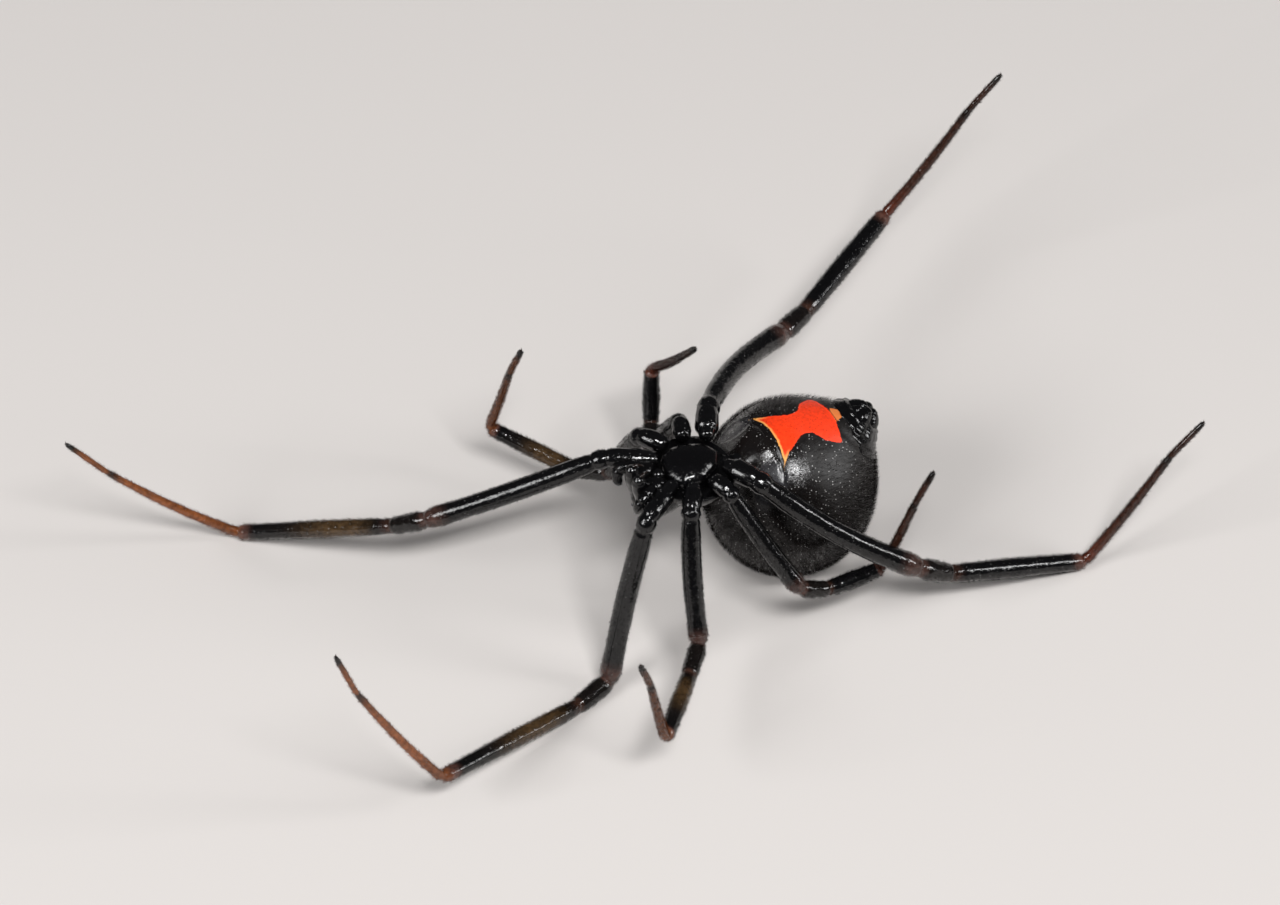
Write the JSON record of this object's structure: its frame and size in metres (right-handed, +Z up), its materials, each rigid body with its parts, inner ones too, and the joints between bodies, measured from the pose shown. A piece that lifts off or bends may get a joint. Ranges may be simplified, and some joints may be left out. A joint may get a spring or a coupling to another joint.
{
  "type": "black widow spider, a still life-size model",
  "caption": "Life-size still model of a female black widow spider lying belly up as it hangs in a web, with long bent legs reaching up and a red hourglass mark on its round black abdomen.",
  "frame": {"origin": "the middle of the small flat on which the back of the abdomen rests, at floor level", "axes": "+Z is up, towards the belly side of the spider, which lies on its back. The head points 208 degrees round from +X, towards -X and -Y."},
  "size_m": [0.0414, 0.028, 0.0103],
  "materials": {
    "black_cuticle": "glossy black cuticle with sparse short dark hairs",
    "brown_cuticle": "glossy dark reddish brown cuticle at the knees",
    "foot_cuticle": "satin orange brown to red brown cuticle with short hairs, darker at the tips",
    "abdomen_skin": "satin brown black skin with fine short hairs and a vivid red orange hourglass mark",
    "eye_lens": "polished black lens"
  },
  "bodies": {
    "root": {"leg_L1_coxa": "black_cuticle", "leg_L1_femur": "black_cuticle", "leg_L1_patella": "brown_cuticle", "leg_L1_tibia": "black_cuticle", "leg_L1_foot": "foot_cuticle", "leg_L2_coxa": "black_cuticle", "leg_L2_femur": "black_cuticle", "leg_L2_patella": "brown_cuticle", "leg_L2_tibia": "black_cuticle", "leg_L2_foot": "foot_cuticle", "leg_L3_coxa": "black_cuticle", "leg_L3_femur": "black_cuticle", "leg_L3_patella": "brown_cuticle", "leg_L3_tibia": "black_cuticle", "leg_L3_foot": "foot_cuticle", "leg_L4_coxa": "black_cuticle", "leg_L4_femur": "black_cuticle", "leg_L4_patella": "brown_cuticle", "leg_L4_tibia": "black_cuticle", "leg_L4_foot": "foot_cuticle", "leg_R1_coxa": "black_cuticle", "leg_R1_femur": "black_cuticle", "leg_R1_patella": "brown_cuticle", "leg_R1_tibia": "black_cuticle", "leg_R1_foot": "foot_cuticle", "leg_R2_coxa": "black_cuticle", "leg_R2_femur": "black_cuticle", "leg_R2_patella": "brown_cuticle", "leg_R2_tibia": "black_cuticle", "leg_R2_foot": "foot_cuticle", "leg_R3_coxa": "black_cuticle", "leg_R3_femur": "black_cuticle", "leg_R3_patella": "brown_cuticle", "leg_R3_tibia": "black_cuticle", "leg_R3_foot": "foot_cuticle", "leg_R4_coxa": "black_cuticle", "leg_R4_femur": "black_cuticle", "leg_R4_patella": "brown_cuticle", "leg_R4_tibia": "black_cuticle", "leg_R4_foot": "foot_cuticle", "eye_L_anterior_median": "eye_lens", "eye_L_anterior_lateral": "eye_lens", "eye_L_posterior_median": "eye_lens", "eye_L_posterior_lateral": "eye_lens", "chelicera_L": "black_cuticle", "fang_L": "brown_cuticle", "palp_L": "black_cuticle", "eye_R_anterior_median": "eye_lens", "eye_R_anterior_lateral": "eye_lens", "eye_R_posterior_median": "eye_lens", "eye_R_posterior_lateral": "eye_lens", "chelicera_R": "black_cuticle", "fang_R": "brown_cuticle", "palp_R": "black_cuticle", "carapace": "black_cuticle", "sternum": "black_cuticle", "labium": "black_cuticle", "pedicel": "black_cuticle", "abdomen": "abdomen_skin", "spinnerets": "black_cuticle"}
  },
  "joints": []
}
